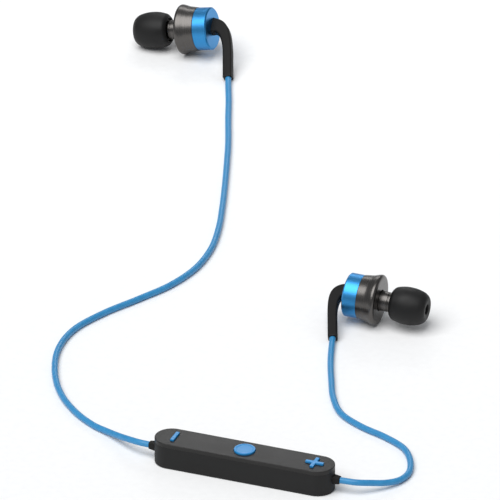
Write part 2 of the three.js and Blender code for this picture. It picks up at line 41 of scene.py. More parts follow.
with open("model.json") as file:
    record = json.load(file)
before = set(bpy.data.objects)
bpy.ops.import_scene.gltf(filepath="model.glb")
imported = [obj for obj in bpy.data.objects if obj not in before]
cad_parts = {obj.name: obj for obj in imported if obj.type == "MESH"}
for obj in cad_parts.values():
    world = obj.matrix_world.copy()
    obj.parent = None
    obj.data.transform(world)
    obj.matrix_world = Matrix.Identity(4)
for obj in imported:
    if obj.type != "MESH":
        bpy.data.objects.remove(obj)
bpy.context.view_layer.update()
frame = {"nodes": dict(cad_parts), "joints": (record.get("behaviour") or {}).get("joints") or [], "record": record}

# ---- driving dimensions, as in the CAD model ----

REMOTE_LENGTH = 60.0
REMOTE_WIDTH = 11.0
REMOTE_HEIGHT = 8.8
REMOTE_WALL = 0.9
SEAM_Z = 7.5
SEAM_LIP = 0.03
SEAM_GAP = 0.02
CORD_EXIT_Z = 4.4
CORD_HOLE_RADIUS = 1.5
PORT_X = 15.5
PORT_LENGTH = 9.8
PORT_HEIGHT = 3.8
PORT_CORNER = 0.6
PORT_Z = 2.9
MICROPHONE_X = 8.0
MICROPHONE_HOLE_RADIUS = 0.5
KEY_SPACING = 23.5
KEY_TOP_Z = 9.35
KEY_CLEARANCE = 0.15
PLAY_RADIUS = 3.4
MARK_LENGTH = 6.0
MINUS_LENGTH = 5.5
MARK_WIDTH = 1.25
KEY_CORNER = 0.3
KEY_EDGE = 0.16
KEY_FLANGE_BOTTOM = 6.95
KEY_FLANGE_TOP = 7.35
MARK_FLANGE_RADIUS = 3.7
PLAY_FLANGE_RADIUS = 3.85
KEY_FOOT_RADIUS = 0.8
KEY_FOOT_BOTTOM = 6.75

RIM_RADIUS = 8.2
HOUSING_REAR = -6.3
HOUSING_REAR_RADIUS = 7.1
CAP_RADIUS = 7.0
CAP_REAR = -11.1
NECK_RADIUS = 3.2
NECK_TOP = 4.1
NOZZLE_TOP = 9.0
FILTER_MIDDLE = 9.175
STEM_CORNER_BACK = 5.3
STEM_LEG_LENGTH = 19.0
STEM_BEND_LENGTH = 10.5
STEM_STRAIGHT_ROOT = 0.9
STEM_WIDTH = 3.05
STEM_ROOT_HEIGHT = 5.7
STEM_ROOT_OFFSET = 0.7
STEM_ROOT_SPREAD = 0.06
STEM_TAPER_LENGTH = 12.0
STEM_TAPER_POWER = 2.2
STEM_BENDS = {"left": 80, "right": 109}

CORD_DIAMETER = 2.0
CORD_BORE_RADIUS = CORD_DIAMETER / 2 + 0.02
CORD_ROUTES = {
    "left": [
        (-102.0, 246.7, 1.4), (-100.5, 242.8, 1.12), (-96.8, 233.7, 1.05), (-91.6, 220.0, 1.05),
        (-86.0, 205.7, 1.05), (-80.9, 191.4, 1.05), (-76.0, 177.2, 1.05), (-71.2, 162.6, 1.05),
        (-67.0, 148.5, 1.05), (-64.2, 134.4, 1.05), (-64.1, 120.4, 1.05), (-67.4, 107.0, 1.05),
        (-73.5, 94.5, 1.05), (-80.3, 81.6, 1.05), (-84.9, 68.2, 1.05), (-84.8, 54.9, 1.05),
        (-80.5, 40.7, 1.05), (-73.3, 27.5, 1.05), (-64.2, 17.4, 1.05), (-55.7, 11.3, 1.05),
        (-49.1, 8.0, 1.5), (-44.2, 4.8, 2.6), (-39.8, 2.0, 3.75), (-35.6, 0.3, 4.35), (-32.05, 0, 4.4),
    ],
    "right": [
        (-5.9, 91.9, 1.4), (-4.7, 88.2, 1.12), (-2.6, 81.9, 1.05), (0, 74.9, 1.05),
        (3.7, 66.0, 1.05), (8.0, 56.3, 1.05), (14.4, 46.8, 1.05), (23.3, 41.1, 1.05),
        (33.1, 37.2, 1.05), (41.1, 32.4, 1.05), (45.9, 25.4, 1.05), (48.2, 17.8, 1.1),
        (47.4, 12.2, 1.35), (44.6, 7.4, 2.2), (40.9, 3.7, 3.3), (37.2, 1.0, 4.1), (32.05, 0, 4.4),
    ],
}

# ---- camera ----

CAMERA_AZIMUTH = math.radians(21.3)
CAMERA_ELEVATION = math.radians(28)
CAMERA_DISTANCE = 6.0
CAMERA_TARGET = Vector((-53.0, 140.5, 0)) * MM
PICTURE_WIDTH = 160.4 * MM
SENSOR_WIDTH = 12


def make_camera():
    camera = bpy.data.objects.new("camera", bpy.data.cameras.new("camera"))
    bpy.context.scene.collection.objects.link(camera)
    away = Vector((
        math.sin(CAMERA_AZIMUTH) * math.cos(CAMERA_ELEVATION),
        -math.cos(CAMERA_AZIMUTH) * math.cos(CAMERA_ELEVATION),
        math.sin(CAMERA_ELEVATION),
    ))
    camera.location = CAMERA_TARGET + away * CAMERA_DISTANCE
    camera.rotation_euler = (-away).to_track_quat("-Z", "Y").to_euler()
    camera.data.sensor_width = SENSOR_WIDTH
    camera.data.lens = SENSOR_WIDTH * CAMERA_DISTANCE / PICTURE_WIDTH
    camera.data.clip_start = 0.1
    camera.data.clip_end = 100
    bpy.context.scene.camera = camera


make_camera()

# ---- materials ----


def linear(red, green, blue):
    """A colour given as 0 to 255 display values, as the linear colour that shaders take."""
    def one(value):
        share = value / 255
        return share / 12.92 if share <= 0.04045 else ((share + 0.055) / 1.055) ** 2.4
    return (one(red), one(green), one(blue), 1)


FINE_GRAIN = 5200


class Nodes:
    """A material's node tree, with short calls for the nodes used here."""

    def __init__(self, name):
        self.material = bpy.data.materials.new(name)
        self.material.use_nodes = True
        self.tree = self.material.node_tree
        self.shader = self.tree.nodes["Principled BSDF"]

    def set(self, **values):
        for name, value in values.items():
            self.shader.inputs[name.replace("_", " ")].default_value = value
        return self

    def add(self, kind, **settings):
        node = self.tree.nodes.new(kind)
        for name, value in settings.items():
            setattr(node, name, value)
        return node

    def link(self, source, target):
        self.tree.links.new(source, target)

    def place(self):
        """Where a point is on its own object, in metres."""
        return self.add("ShaderNodeTexCoord").outputs["Object"]

    def stretched(self, scale, source=None):
        mapping = self.add("ShaderNodeMapping")
        mapping.inputs["Scale"].default_value = scale
        self.link(source or self.place(), mapping.inputs["Vector"])
        return mapping.outputs["Vector"]

    def noise(self, scale, detail=3, roughness=0.5, vector=None, dimensions="3D"):
        node = self.add("ShaderNodeTexNoise", noise_dimensions=dimensions)
        node.inputs["Scale"].default_value = scale
        node.inputs["Detail"].default_value = detail
        node.inputs["Roughness"].default_value = roughness
        if dimensions != "1D":
            self.link(vector or self.place(), node.inputs["Vector"])
        return node

    def math(self, operation, first, second=None):
        node = self.add("ShaderNodeMath", operation=operation)
        for socket, value in zip(node.inputs, (first, second)):
            if value is None:
                continue
            if isinstance(value, (int, float)):
                socket.default_value = value
            else:
                self.link(value, socket)
        return node.outputs[0]

    def between(self, source, low, high, from_low=0.3, from_high=0.7):
        node = self.add("ShaderNodeMapRange")
        node.inputs["From Min"].default_value = from_low
        node.inputs["From Max"].default_value = from_high
        node.inputs["To Min"].default_value = low
        node.inputs["To Max"].default_value = high
        self.link(source, node.inputs["Value"])
        return node.outputs["Result"]

    def mix(self, share, first, second):
        node = self.add("ShaderNodeMix", data_type="RGBA")
        self.link(share, node.inputs["Factor"])
        node.inputs["A"].default_value = first
        node.inputs["B"].default_value = second
        return node.outputs["Result"]

    def colour(self, share, first, second):
        self.link(self.mix(share, first, second), self.shader.inputs["Base Color"])

    def roughness(self, source, low, high):
        self.link(self.between(source, low, high), self.shader.inputs["Roughness"])

    def bump(self, source, strength, distance):
        node = self.add("ShaderNodeBump")
        node.inputs["Strength"].default_value = strength
        node.inputs["Distance"].default_value = distance
        self.link(source, node.inputs["Height"])
        self.link(node.outputs["Normal"], self.shader.inputs["Normal"])


def turned_lines(nodes, pitch):
    """Fine tool marks round the object's own Z axis: they follow height on a wall and radius on a face."""
    parts = nodes.add("ShaderNodeSeparateXYZ")
    nodes.link(nodes.place(), parts.inputs["Vector"])
    across = nodes.math("MULTIPLY", parts.outputs["X"], parts.outputs["X"])
    down = nodes.math("MULTIPLY", parts.outputs["Y"], parts.outputs["Y"])
    radius = nodes.math("SQRT", nodes.math("ADD", across, down))
    travel = nodes.math("ADD", radius, parts.outputs["Z"])
    lines = nodes.noise(1 / pitch, detail=4, roughness=0.7, dimensions="1D")
    nodes.link(travel, lines.inputs["W"])
    return lines.outputs["Fac"]


def turned_metal(name, dark, light, rough_low, rough_high, anisotropy, pitch=0.2 * MM):
    nodes = Nodes(name)
    nodes.set(Metallic=1.0, Anisotropic=anisotropy)
    lines = turned_lines(nodes, pitch)
    nodes.colour(nodes.between(lines, 0, 1), dark, light)
    nodes.roughness(lines, rough_low, rough_high)
    tangent = nodes.add("ShaderNodeTangent", direction_type="RADIAL", axis="Z")
    nodes.link(tangent.outputs["Tangent"], nodes.shader.inputs["Tangent"])
    nodes.bump(lines, 0.12, 0.01 * MM)
    return nodes.material


def dark_metal():
    return turned_metal("dark_metal", linear(86, 84, 82), linear(98, 95, 93), 0.24, 0.32, 0.3)


def blue_metal():
    return turned_metal("blue_metal", linear(56, 138, 198), linear(66, 148, 208), 0.34, 0.4, 0.3)


def soft_plastic():
    """Soft-touch black plastic with a very fine moulded grain."""
    nodes = Nodes("soft_plastic")
    nodes.set(Specular_IOR_Level=0.25)
    grain = nodes.noise(FINE_GRAIN, detail=2)
    patches = nodes.noise(90, detail=3)
    nodes.colour(nodes.between(patches.outputs["Fac"], 0, 1), linear(27, 27, 27), linear(32, 32, 32))
    nodes.roughness(patches.outputs["Fac"], 0.5, 0.6)
    nodes.bump(grain.outputs["Fac"], 0.25, 0.03 * MM)
    return nodes.material


def cover_plastic():
    """The top cover is smoother than the shell, so it mirrors more of the light above."""
    nodes = Nodes("cover_plastic")
    nodes.set(Specular_IOR_Level=0.35)
    grain = nodes.noise(FINE_GRAIN, detail=2)
    patches = nodes.noise(60, detail=3)
    nodes.colour(nodes.between(patches.outputs["Fac"], 0, 1), linear(27, 26, 25), linear(32, 31, 30))
    nodes.roughness(patches.outputs["Fac"], 0.36, 0.44)
    nodes.bump(grain.outputs["Fac"], 0.2, 0.02 * MM)
    return nodes.material


def key_plastic():
    nodes = Nodes("key_plastic")
    nodes.set(Specular_IOR_Level=0.5)
    grain = nodes.noise(3800, detail=2)
    patches = nodes.noise(160, detail=2)
    nodes.colour(nodes.between(patches.outputs["Fac"], 0, 1), linear(40, 136, 200), linear(50, 146, 210))
    nodes.roughness(patches.outputs["Fac"], 0.3, 0.4)
    nodes.bump(grain.outputs["Fac"], 0.15, 0.02 * MM)
    return nodes.material


def cord_sheath():
    """Extruded elastomer: satin, with faint ripples along the cord."""
    nodes = Nodes("cord_sheath")
    nodes.set(Specular_IOR_Level=0.5)
    ripple = nodes.noise(420, detail=3)
    grain = nodes.noise(FINE_GRAIN, detail=2)
    nodes.colour(nodes.between(ripple.outputs["Fac"], 0, 1), linear(44, 132, 186), linear(54, 142, 196))
    nodes.roughness(ripple.outputs["Fac"], 0.34, 0.46)
    nodes.bump(grain.outputs["Fac"], 0.2, 0.02 * MM)
    return nodes.material


def black_rubber():
    nodes = Nodes("black_rubber")
    nodes.set(Specular_IOR_Level=0.22)
    grain = nodes.noise(4200, detail=3)
    patches = nodes.noise(220, detail=3)
    nodes.colour(nodes.between(patches.outputs["Fac"], 0, 1), linear(18, 17, 16), linear(25, 24, 23))
    nodes.roughness(patches.outputs["Fac"], 0.5, 0.66)
    nodes.bump(grain.outputs["Fac"], 0.3, 0.03 * MM)
    return nodes.material


def silicone():
    nodes = Nodes("silicone")
    nodes.set(Specular_IOR_Level=0.3)
    grain = nodes.noise(3000, detail=3)
    patches = nodes.noise(180, detail=3)
    nodes.colour(nodes.between(patches.outputs["Fac"], 0, 1), linear(16, 16, 16), linear(22, 22, 22))
    nodes.roughness(patches.outputs["Fac"], 0.46, 0.6)
    nodes.bump(grain.outputs["Fac"], 0.2, 0.03 * MM)
    return nodes.material


def plated_steel():
    nodes = Nodes("plated_steel")
    nodes.set(Metallic=1.0)
    streaks = nodes.noise(900, detail=4, vector=nodes.stretched((1, 8, 1)))
    nodes.colour(nodes.between(streaks.outputs["Fac"], 0, 1), linear(176, 176, 180), linear(208, 208, 211))
    nodes.roughness(streaks.outputs["Fac"], 0.25, 0.42)
    nodes.bump(streaks.outputs["Fac"], 0.1, 0.02 * MM)
    return nodes.material


def mesh_steel():
    """Woven wire: a fine square checker of bright wires, with painted shade in the dark squares that stand for the
    holes between them.
    """
    nodes = Nodes("mesh_steel")
    nodes.set(Metallic=1.0, Roughness=0.4)
    weave = nodes.add("ShaderNodeTexChecker")
    weave.inputs["Scale"].default_value = 1 / (0.2 * MM)
    nodes.link(nodes.place(), weave.inputs["Vector"])
    # the darker checker colour is painted shade standing for the holes, the lighter one is the wire's own colour
    nodes.colour(weave.outputs["Fac"], linear(60, 60, 62), linear(188, 188, 190))
    nodes.bump(weave.outputs["Fac"], 0.5, 0.05 * MM)
    return nodes.material


def driver_film():
    nodes = Nodes("driver_film")
    patches = nodes.noise(700, detail=2)
    nodes.colour(nodes.between(patches.outputs["Fac"], 0, 1), linear(188, 168, 120), linear(206, 186, 138))
    nodes.roughness(patches.outputs["Fac"], 0.2, 0.35)
    nodes.bump(patches.outputs["Fac"], 0.1, 0.02 * MM)
    return nodes.material


def board_laminate():
    nodes = Nodes("board_laminate")
    weave = nodes.noise(2400, detail=2)
    nodes.colour(nodes.between(weave.outputs["Fac"], 0, 1), linear(22, 84, 52), linear(34, 104, 66))
    nodes.roughness(weave.outputs["Fac"], 0.3, 0.45)
    nodes.bump(weave.outputs["Fac"], 0.15, 0.02 * MM)
    return nodes.material


def battery_foil():
    nodes = Nodes("battery_foil")
    nodes.set(Metallic=1.0)
    creases = nodes.noise(320, detail=5, roughness=0.65)
    nodes.colour(nodes.between(creases.outputs["Fac"], 0, 1), linear(186, 188, 192), linear(214, 215, 218))
    nodes.roughness(creases.outputs["Fac"], 0.28, 0.45)
    nodes.bump(creases.outputs["Fac"], 0.5, 0.1 * MM)
    return nodes.material


MATERIALS = {
    "dark_metal": dark_metal(),
    "blue_metal": blue_metal(),
    "shell_plastic": soft_plastic(),
    "cover_plastic": cover_plastic(),
    "key_plastic": key_plastic(),
    "cord_sheath": cord_sheath(),
    "black_rubber": black_rubber(),
    "silicone": silicone(),
    "plated_steel": plated_steel(),
    "mesh_steel": mesh_steel(),
    "driver_film": driver_film(),
    "board": board_laminate(),
    "battery_foil": battery_foil(),
}

# ---- mesh making ----

SHARP_ANGLE = math.radians(32)
WELD_DISTANCE = 0.0005
SUPPORT = 0.12  # how far a supporting ring stands clear of a rounded edge
FULL = 99.0  # a corner radius that rounds over nearly half of each side next to it
SHARPEST_MITRE = 0.4


def tidy_mesh(piece):
    """Joins doubled points, turns every face outwards and shades smooth between sharp edges."""
    work = bmesh.new()
    work.from_mesh(piece.data)
    bmesh.ops.remove_doubles(work, verts=work.verts, dist=WELD_DISTANCE * MM)
    bmesh.ops.recalc_face_normals(work, faces=work.faces)
    work.to_mesh(piece.data)
    work.free()
    shade(piece)


def shade(piece):
    piece.data.shade_smooth()
    piece.data.set_sharp_from_angle(angle=SHARP_ANGLE)


def mesh_object(name, shape, matrix=None):
    """An object from a shape, which is (points in millimetres, faces)."""
    points, faces = shape
    mesh = bpy.data.meshes.new(name)
    mesh.from_pydata([Vector(point) * MM for point in points], [], faces)
    piece = bpy.data.objects.new(name, mesh)
    bpy.context.scene.collection.objects.link(piece)
    if matrix:
        piece.matrix_world = matrix
    tidy_mesh(piece)
    return piece


def dress(piece, slot, body, stands_for=(), material=None):
    """Gives a finished piece its material, its body and the CAD nodes that it stands for."""
    piece.data.materials.clear()
    piece.data.materials.append(MATERIALS[material or slot])
    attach(piece, body)
    if stands_for:
        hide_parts(*stands_for)
    return piece


def loft(rings, close_ends=True, close_loop=False):
    """A skin over rings that all have the same number of points."""
    points = [point for ring in rings for point in ring]
    count = len(rings[0])
    faces = []
    spans = len(rings) if close_loop else len(rings) - 1
    for row in range(spans):
        here = row * count
        there = (row + 1) % len(rings) * count
        for step in range(count):
            after = (step + 1) % count
            faces.append((here + step, here + after, there + after, there + step))
    if close_ends and not close_loop:
        faces.append(tuple(range(count)))
        faces.append(tuple(range(len(points) - count, len(points))))
    return points, faces


def rounded_line(corners, closed=False, steps=6):
    """A line through (a, b, radius) corners. Each corner is rounded, with a point just clear of each end
    of its arc, so that smooth shading stays inside the arc."""
    result = []
    count = len(corners)
    for index, (a, b, radius) in enumerate(corners):
        here = Vector((a, b))
        if radius <= 0 or (not closed and index in (0, count - 1)):
            result.append(tuple(here))
            continue
        before = Vector(corners[index - 1][:2]) - here
        after = Vector(corners[(index + 1) % count][:2]) - here
        half = before.angle(after) / 2
        reach = min(radius / math.tan(half), 0.49 * before.length, 0.49 * after.length)
        start = here + before.normalized() * reach
        finish = here + after.normalized() * reach
        roomy = radius < FULL
        room = 2.5 * (reach + SUPPORT)
        if roomy and before.length > room:
            result.append(tuple(here + before.normalized() * (reach + SUPPORT)))
        for step in range(steps + 1):
            share = step / steps
            point = (1 - share) ** 2 * start + 2 * share * (1 - share) * here + share ** 2 * finish
            result.append(tuple(point))
        if roomy and after.length > room:
            result.append(tuple(here + after.normalized() * (reach + SUPPORT)))
    return result


def turned(profile, segments=144, closed=True):
    """A body turned about Z. A closed profile makes a ring-shaped body, an open one is capped."""
    rings = []
    for radius, height in profile:
        ring = []
        for step in range(segments):
            angle = 2 * math.pi * step / segments
            ring.append((radius * math.cos(angle), radius * math.sin(angle), height))
        rings.append(ring)
    return loft(rings, close_loop=closed)


def stadium_ring(inset, height, arc_steps=40):
    """One level outline of the remote, with straight long sides and half-round ends."""
    radius = REMOTE_WIDTH / 2 - inset
    straight = (REMOTE_LENGTH - REMOTE_WIDTH) / 2
    ring = []
    for side in (1, -1):
        for step in range(arc_steps + 1):
            angle = math.pi * (step / arc_steps - 0.5)
            x = side * (straight + radius * math.cos(angle))
            y = side * radius * math.sin(angle)
            ring.append((x, y, height))
    return ring


def offset_outline(outline, inset, height):
    """An outline, listed anticlockwise, moved inwards by inset and set at a height."""
    count = len(outline)
    ring = []
    for index, point in enumerate(outline):
        here = Vector(point)
        before = (here - Vector(outline[index - 1])).normalized()
        after = (Vector(outline[(index + 1) % count]) - here).normalized()
        inward = Vector((-before.y - after.y, before.x + after.x))
        moved = here + inward * 2 * inset / max(SHARPEST_MITRE, inward.length_squared)
        ring.append((moved.x, moved.y, height))
    return ring


def edge_steps(edge, steps=5):
    """(inset, distance below the face) pairs round a quarter circle, from the wall to the face."""
    pairs = []
    for step in range(steps + 1):
        angle = math.pi / 2 * step / steps
        pairs.append((edge * (1 - math.cos(angle)), edge * (1 - math.sin(angle))))
    return pairs


def prism(outline, bottom, top, edge):
    """A block over an outline, with its top edge rounded."""
    rings = [offset_outline(outline, 0, bottom), offset_outline(outline, 0, top - edge - SUPPORT)]
    rings += [offset_outline(outline, inset, top - drop) for inset, drop in edge_steps(edge, 4)]
    rings.append(offset_outline(outline, 1.1 * edge, top))
    return loft(rings)


def bar_outline(length, width, corner):
    x, y = length / 2, width / 2
    return rounded_line([(x, -y, corner), (x, y, corner), (-x, y, corner), (-x, -y, corner)], closed=True)


def plus_outline(length, width, corner):
    far, near = length / 2, width / 2
    corners = []
    for turn in range(4):
        spin = Matrix.Rotation(turn * math.pi / 2, 2)
        for x, y in ((near, far), (-near, far), (-near, near)):
            spot = spin @ Vector((x, y))
            corners.append((spot.x, spot.y, corner))
    return rounded_line(corners, closed=True)


def moved(shape, offset):
    points, faces = shape
    return [tuple(Vector(point) + Vector(offset)) for point in points], faces


def swapped(shape, order):
    """A shape with its axes taken in another order, such as "XZY"."""
    points, faces = shape
    places = ["XYZ".index(letter) for letter in order]
    return [tuple(point[place] for place in places) for point in points], faces


def cylinder(radius, bottom, top, segments=96):
    return turned([(radius, bottom), (radius, top)], segments, closed=False)


def combine(piece, shape, operation="DIFFERENCE"):
    """Cuts a shape out of a piece, or joins it on."""
    tool = mesh_object("tool", shape, piece.matrix_world)
    bpy.context.view_layer.update()
    modifier = piece.modifiers.new("combine", "BOOLEAN")
    modifier.operation = operation
    modifier.solver = "EXACT"
    modifier.object = tool
    apply_modifiers(piece)
    mesh = tool.data
    bpy.data.objects.remove(tool)
    bpy.data.meshes.remove(mesh)
    shade(piece)


def apply_modifiers(piece):
    graph = bpy.context.evaluated_depsgraph_get()
    done = bpy.data.meshes.new_from_object(piece.evaluated_get(graph))
    piece.modifiers.clear()
    old = piece.data
    piece.data = done
    bpy.data.meshes.remove(old)


# ---- cords ----


def smooth_route(points, per_span=24):
    """Points along the centripetal Catmull-Rom curve through the route, as the CAD model draws it."""
    spots = [Vector(point) for point in points]
    spots = [2 * spots[0] - spots[1], *spots, 2 * spots[-1] - spots[-2]]
    line = []
    for before, start, finish, after in zip(spots, spots[1:], spots[2:], spots[3:]):
        first = math.sqrt((start - before).length)
        second = math.sqrt((finish - start).length)
        third = math.sqrt((after - finish).length)
        leave = (start - before) / first - (finish - before) / (first + second) + (finish - start) / second
        arrive = (finish - start) / second - (after - start) / (second + third) + (after - finish) / third
        leave *= second
        arrive *= second
        for step in range(per_span):
            t = step / per_span
            bend = (2 * start - 2 * finish + leave + arrive) * t ** 3
            turn = (3 * finish - 3 * start - 2 * leave - arrive) * t ** 2
            line.append(bend + turn + leave * t + start)
    line.append(spots[-2])
    return line


def tube(line, radius, sides=24):
    """A round tube along a line, its section carried along without twist."""
    rings = []
    side = Vector((0, 0, 1))
    for index, centre in enumerate(line):
        ahead = line[min(index + 1, len(line) - 1)] - line[max(index - 1, 0)]
        ahead.normalize()
        side = (side - ahead * side.dot(ahead)).normalized()
        other = ahead.cross(side)
        ring = []
        for step in range(sides):
            angle = 2 * math.pi * step / sides
            ring.append(tuple(centre + radius * (math.cos(angle) * side + math.sin(angle) * other)))
        rings.append(ring)
    return loft(rings)


def make_cord(side):
    line = smooth_route(CORD_ROUTES[side])
    cord = mesh_object(f"{side}_cord", tube(line, CORD_DIAMETER / 2))
    dress(cord, "cord_sheath", "remote", [f"{side}_cable"])


for cord_side in CORD_ROUTES:
    make_cord(cord_side)

# ---- remote ----


def make_shell():
    """The tub: rounded bottom edge, straight sides, and a hollow that holds the inner pieces."""
    edge = 0.5
    rings = [stadium_ring(edge + SUPPORT, 0)]
    rings += [stadium_ring(inset, drop) for inset, drop in reversed(edge_steps(edge))]
    rings.append(stadium_ring(0, edge + SUPPORT))
    rings.append(stadium_ring(0, SEAM_Z - SEAM_LIP))
    rings.append(stadium_ring(SEAM_LIP, SEAM_Z))
    rings.append(stadium_ring(REMOTE_WALL, SEAM_Z))
    rings.append(stadium_ring(REMOTE_WALL, REMOTE_WALL))
    shell = mesh_object("remote_shell", loft(rings))
    cord_hole = swapped(cylinder(CORD_HOLE_RADIUS, -REMOTE_LENGTH, REMOTE_LENGTH, 64), "ZXY")
    port_outline = bar_outline(PORT_LENGTH, PORT_HEIGHT, PORT_CORNER)
    port = swapped(loft([
        offset_outline(port_outline, 0, REMOTE_WIDTH / 2 - 2 * REMOTE_WALL),
        offset_outline(port_outline, 0, REMOTE_WIDTH / 2 + 1),
    ]), "XZY")
    microphone_hole = cylinder(MICROPHONE_HOLE_RADIUS, -1, 2, 32)
    combine(shell, moved(cord_hole, (0, 0, CORD_EXIT_Z)))
    combine(shell, moved(port, (PORT_X, 0, PORT_Z)))
    combine(shell, moved(microphone_hole, (MICROPHONE_X, 0, 0)))
    dress(shell, "shell_plastic", "remote", ["bottom_shell"])


def make_cover():
    """The flat top: a crisp rounded edge, and a hole for each key."""
    edge = 0.22
    bottom = SEAM_Z + SEAM_GAP
    rings = [stadium_ring(SEAM_LIP, bottom), stadium_ring(0, bottom + SEAM_LIP)]
    rings.append(stadium_ring(0, REMOTE_HEIGHT - edge - SUPPORT))
    rings += [stadium_ring(inset, REMOTE_HEIGHT - drop) for inset, drop in edge_steps(edge)]
    rings.append(stadium_ring(edge + SUPPORT, REMOTE_HEIGHT))
    cover = mesh_object("remote_cover", loft(rings))
    tall = (0, 2 * REMOTE_HEIGHT)
    grown = 2 * KEY_CLEARANCE
    outlines = [
        (bar_outline(MARK_WIDTH + grown, MINUS_LENGTH + grown, KEY_CORNER), -KEY_SPACING),
        (plus_outline(MARK_LENGTH + grown, MARK_WIDTH + grown, KEY_CORNER), KEY_SPACING),
    ]
    for outline, x in outlines:
        hole = loft([offset_outline(outline, 0, height) for height in tall])
        combine(cover, moved(hole, (x, 0, 0)))
    combine(cover, cylinder(PLAY_RADIUS + KEY_CLEARANCE, *tall, 128))
    dress(cover, "shell_plastic", "remote", ["top_cover"], material="cover_plastic")


def make_mark_key(name, outline, x):
    """A raised mark on a flange that stays under the cover, with a foot over its switch."""
    mark = prism(outline, KEY_FLANGE_BOTTOM + 0.1, KEY_TOP_Z, KEY_EDGE)
    flange = cylinder(MARK_FLANGE_RADIUS, KEY_FLANGE_BOTTOM, KEY_FLANGE_TOP)
    foot = cylinder(KEY_FOOT_RADIUS, KEY_FOOT_BOTTOM, KEY_FLANGE_BOTTOM + 0.2, 48)
    key = mesh_object(f"{name}_key", moved(mark, (x, 0, 0)))
    combine(key, moved(flange, (x, 0, 0)), "UNION")
    combine(key, moved(foot, (x, 0, 0)), "UNION")
    dress(key, "key_plastic", f"{name}_key", [f"{name}_button"])


def make_play_key():
    """The round key: a rounded rim, and a face that is dished a little inside a flat margin."""
    profile = rounded_line([
        (KEY_FOOT_RADIUS, KEY_FOOT_BOTTOM, 0),
        (KEY_FOOT_RADIUS, KEY_FLANGE_BOTTOM, 0),
        (PLAY_FLANGE_RADIUS, KEY_FLANGE_BOTTOM, 0),
        (PLAY_FLANGE_RADIUS, KEY_FLANGE_TOP, 0),
        (PLAY_RADIUS, KEY_FLANGE_TOP, 0),
        (PLAY_RADIUS, KEY_TOP_Z, 0.28),
        (2.75, KEY_TOP_Z, 0.1),
        (2.5, KEY_TOP_Z - 0.1, 0.2),
        (0.4, KEY_TOP_Z - 0.14, 0),
    ])
    key = mesh_object("play_key", turned(profile, closed=False))
    dress(key, "key_plastic", "play_key", ["play_button"])


def rounded_square(half, corner, per_corner=8):
    """Points round a square with rounded corners, the same number of points at every size."""
    ring = []
    for quarter in range(4):
        for step in range(per_corner + 1):
            angle = math.pi / 2 * (quarter + step / per_corner)
            turn = math.pi / 2 * quarter + math.pi / 4
            middle = (half - corner) * math.sqrt(2)
            x = middle * math.cos(turn) + corner * math.cos(angle)
            y = middle * math.sin(turn) + corner * math.sin(angle)
            ring.append((x, y))
    return ring


def circle_like(ring, radius):
    """A circle with one point for each point of a ring, in the same directions."""
    return [tuple(Vector(point).normalized() * radius) for point in ring]


def make_strain_relief(side, sign):
    """A short tapered boss that the cord goes into, with its neck and flange inside the wall."""
    face = REMOTE_LENGTH / 2
    end = face + 2.12
    flange = 1.8
    root = 1.3
    tip = 1.1
    stations = [
        (face - 2.8, flange, 1.75), (face - 1.7, flange, 1.75),
        (face - 1.7, root, 1.25), (face - 0.3, root, 1.25),
        (face - 0.3, root, 0.45), (face + 0.2, root, 0.45), (face + 1.9, tip, 0.4),
        (face + 2.05, tip - 0.06, 0.38), (end, tip - 0.14, 0.35),
    ]
    rings = []
    for x, half, corner in stations:
        rings.append([(x, y, z) for y, z in rounded_square(half, corner)])
    last = [(y, z) for _, y, z in rings[-1]]
    for x in (end, face + 1.7):
        rings.append([(x, y, z) for y, z in circle_like(last, CORD_BORE_RADIUS)])
    rings = [[(sign * x, sign * y, z + CORD_EXIT_Z) for x, y, z in ring] for ring in rings]
    relief = mesh_object(f"relief_{side}", loft(rings))
    dress(relief, "black_rubber", "remote", [f"strain_relief_{side}"])


def make_port_cover():
    """The soft cover: a thin rounded plate that fills the port, with a small pull tab at its free end."""
    clearance = 0.2
    thickness = 0.8
    tab_height = 0.42
    tab_from_end = 1.1
    face = REMOTE_WIDTH / 2
    outline = bar_outline(PORT_LENGTH - 2 * clearance, PORT_HEIGHT - 2 * clearance, 0.5)
    plate = swapped(prism(outline, face - thickness, face + 0.02, 0.12), "XZY")
    cover = mesh_object("port_flap", moved(plate, (PORT_X, 0, PORT_Z)))
    tab = swapped(prism(bar_outline(0.8, 2.0, 0.3), face - 0.3, face + tab_height, 0.18), "XZY")
    combine(cover, moved(tab, (PORT_X + PORT_LENGTH / 2 - tab_from_end, 0, PORT_Z)), "UNION")
    dress(cover, "black_rubber", "port_cover", ["charge_port_cover"])


def make_socket():
    """The charging socket: a folded metal mouth with slanted lower corners, and a contact tongue inside."""
    low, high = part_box("charge_socket")
    middle = (low + high) / 2 / MM
    half_width = (high - low).x / MM / 2
    half_height = (high - low).z / MM / 2
    back = low.y / MM
    front = high.y / MM
    wall = 0.28
    slant = 0.7
    outline = rounded_line([
        (half_width - slant, -half_height, 0.3),
        (half_width, slant - half_height, 0.3),
        (half_width, half_height, 0.35),
        (-half_width, half_height, 0.35),
        (-half_width, slant - half_height, 0.3),
        (slant - half_width, -half_height, 0.3),
    ], closed=True)
    rings = [
        offset_outline(outline, 0, back),
        offset_outline(outline, 0, front),
        offset_outline(outline, 0.08, front + 0.06),
        offset_outline(outline, wall, front),
        offset_outline(outline, wall, back + wall),
    ]
    socket = mesh_object("socket_shell", moved(swapped(loft(rings), "XZY"), (middle.x, 0, middle.z)))
    dress(socket, "plated_steel", "remote", ["charge_socket"])
    tongue_shape = swapped(prism(bar_outline(5.0, 0.6, 0.15), back + wall, front - 0.9, 0.08), "XZY")
    tongue = mesh_object("socket_tongue", moved(tongue_shape, (middle.x, 0, middle.z + 0.2)))
    dress(tongue, "shell_plastic", "remote")


